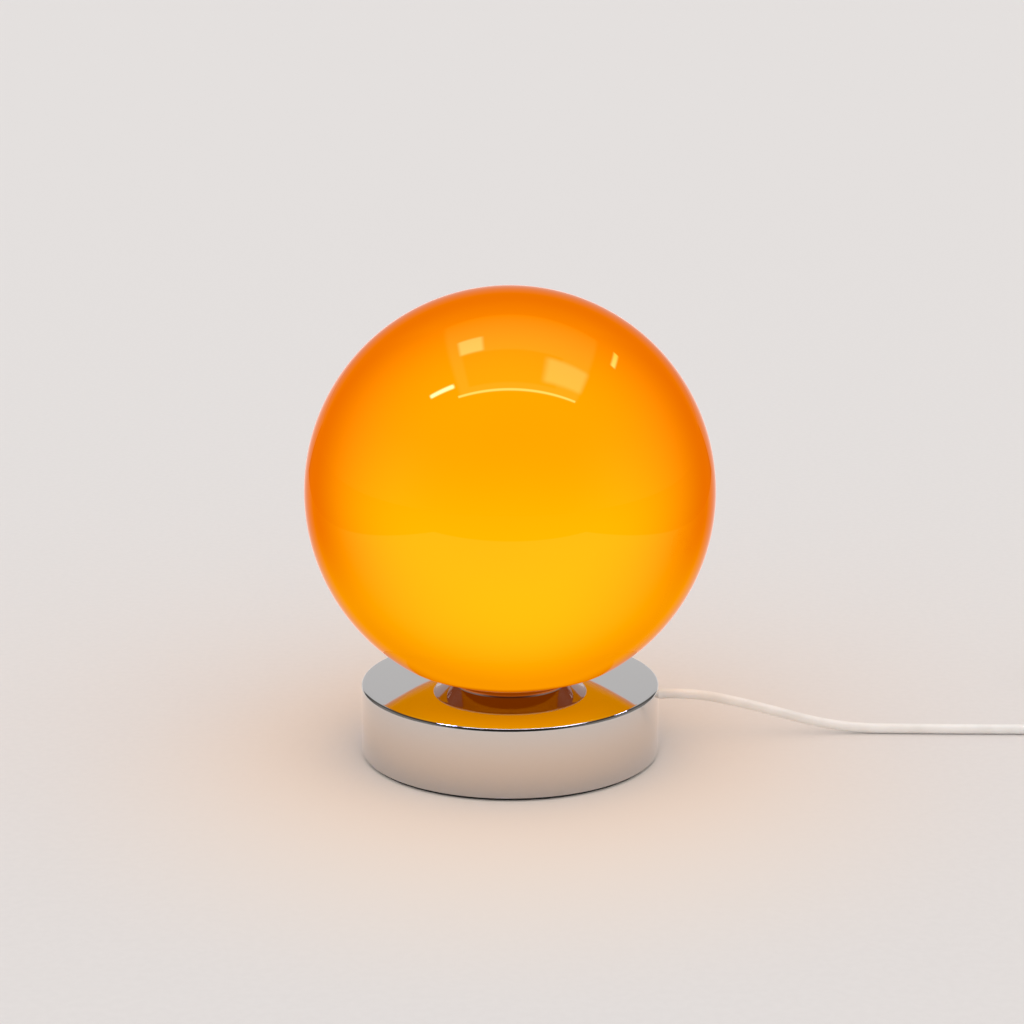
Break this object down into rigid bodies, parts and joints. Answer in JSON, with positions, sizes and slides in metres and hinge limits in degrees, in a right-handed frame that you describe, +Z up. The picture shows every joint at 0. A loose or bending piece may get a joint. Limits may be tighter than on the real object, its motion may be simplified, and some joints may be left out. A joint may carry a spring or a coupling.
{
  "type": "globe table lamp",
  "caption": "Table lamp with a round glowing glass globe on a flared collar and a low drum base, with an inline rocker switch, a coiled cord and a flat plug.",
  "frame": {"origin": "On the standing surface, on the axis of base and globe.", "axes": "+Z is up, -Y is the front, and the cord leaves towards +X."},
  "size_m": [0.5613, 0.2207, 0.2342],
  "materials": {
    "chrome_shell": "polished",
    "chrome_cup": "polished",
    "zinc_steel": "zinc plated",
    "spring_steel": "satin",
    "iron": "rough cast, blackened",
    "black_rubber": "matt",
    "clear_silicone": "translucent",
    "orange_glass": "cased glass, glossy outside",
    "brass": "turned",
    "white_holder": "heat-resistant moulding",
    "ceramic": "glazed",
    "opal_plastic": "frosted, translucent",
    "bulb_plastic": "smooth white",
    "nickel": "nickel plated",
    "black_glass": "vitrite insulator",
    "circuit_board": "white solder mask",
    "white_nylon": "moulded",
    "white_flex": "round two-core flex",
    "brown_wire": "insulated wire",
    "blue_wire": "insulated wire",
    "white_switch": "moulded, fine satin",
    "white_rocker": "polished moulding",
    "white_plug": "moulded, fine satin",
    "clear_tie": "soft strap",
    "black_sleeve": "pin insulation"
  },
  "bodies": {
    "base": {"base_shell": "chrome_shell", "base_posts": "zinc_steel", "base_ballast": "iron", "base_cover": "zinc_steel", "base_cover_screws": "zinc_steel", "base_foot_ring": "black_rubber", "gallery_cup": "chrome_cup", "gallery_ring_nut": "zinc_steel", "globe_gasket": "clear_silicone", "globe_clips": "spring_steel", "nipple": "zinc_steel", "nipple_washer": "zinc_steel", "nipple_nut": "zinc_steel", "holder_base": "white_holder", "holder_insert": "ceramic", "holder_skirt": "white_holder", "holder_screw_shell": "nickel", "holder_contact": "brass", "holder_terminals": "brass", "holder_terminal_screws": "brass", "cord_gland": "white_nylon", "cord_clamp_base": "white_nylon", "cord_clamp_bar": "white_nylon", "cord_clamp_screws": "zinc_steel", "cord_inner": "white_flex", "wire_live": "brown_wire", "wire_neutral": "blue_wire", "cord_lead": "white_flex", "switch_lower": "white_switch", "switch_upper": "white_switch", "switch_screws": "zinc_steel", "switch_rocker_pin": "spring_steel", "switch_fulcrum": "brass", "switch_fixed_contact": "brass", "switch_cord_ends": "white_flex", "switch_wires": "brown_wire", "cord_link": "white_flex", "cord_coil": "white_flex", "cord_tail": "white_flex", "coil_ties": "clear_tie", "plug_body": "white_plug", "plug_relief": "white_plug", "plug_pins": "nickel", "plug_pin_sleeves": "black_sleeve"},
    "globe": {"glass_globe": "orange_glass"},
    "bulb": {"bulb_diffuser": "opal_plastic", "bulb_body": "bulb_plastic", "bulb_cap": "nickel", "bulb_insulator": "black_glass", "bulb_tip": "brass", "bulb_led_board": "circuit_board"},
    "rocker": {"switch_rocker": "white_rocker", "switch_plunger": "white_nylon"},
    "lever": {"switch_lever": "brass"}
  },
  "joints": [
    {"name": "globe_lift", "type": "slide", "parent": "base", "child": "globe", "axis": [0, 0, 1], "range_m": [0, 0.16]},
    {"name": "bulb_out", "type": "slide", "parent": "base", "child": "bulb", "axis": [0, 0, 1], "range_m": [0, 0.03]},
    {"name": "rocker_tilt", "type": "hinge", "parent": "base", "child": "rocker", "pos_m": [0.346, 0.0216, 0.012], "axis": [0, 1, 0], "range_deg": [0, 18]},
    {"name": "lever_tilt", "type": "hinge", "parent": "base", "child": "lever", "pos_m": [0.346, 0.0216, 0.0044], "axis": [0, 1, 0], "range_deg": [-12, 0]}
  ],
  "couplings": [
    {"joint": "lever_tilt", "follows": "rocker_tilt", "ratio": -0.6667}
  ]
}
